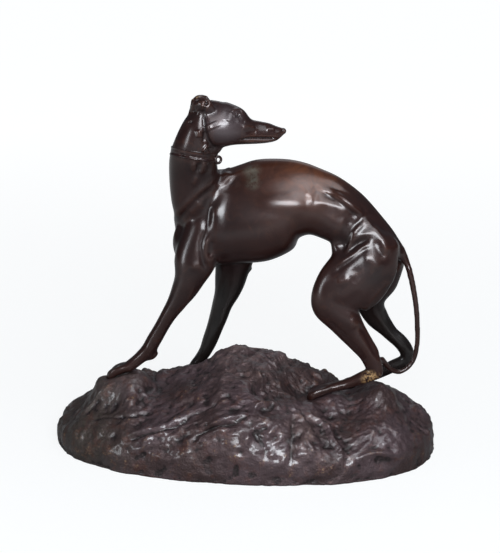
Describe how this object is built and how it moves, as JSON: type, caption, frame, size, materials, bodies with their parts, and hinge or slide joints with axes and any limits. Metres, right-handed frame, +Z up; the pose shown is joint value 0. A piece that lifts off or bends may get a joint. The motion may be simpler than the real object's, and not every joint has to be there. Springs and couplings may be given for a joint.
{
  "type": "bronze whippet sculpture",
  "caption": "Cast bronze hound with an arched back looking over its shoulder, standing on a rocky mound base.",
  "frame": {"origin": "middle of the rock's flat underside", "axes": "+X along the rock from under the forepaws to the tail, -Y towards the viewer, who sees the hound's left flank, +Z up"},
  "size_m": [0.342, 0.2056, 0.3155],
  "materials": {
    "hound_bronze": "cast bronze with a waxed dark chocolate patina, redder on the back, worn to brass on the ear rims and at the brazed hock",
    "rock_bronze": "rough cast bronze with a purple-brown patina, worn lighter on its lumps and ridges"
  },
  "bodies": {
    "root": {"whippet": "hound_bronze", "rock_base": "rock_bronze"}
  },
  "joints": []
}
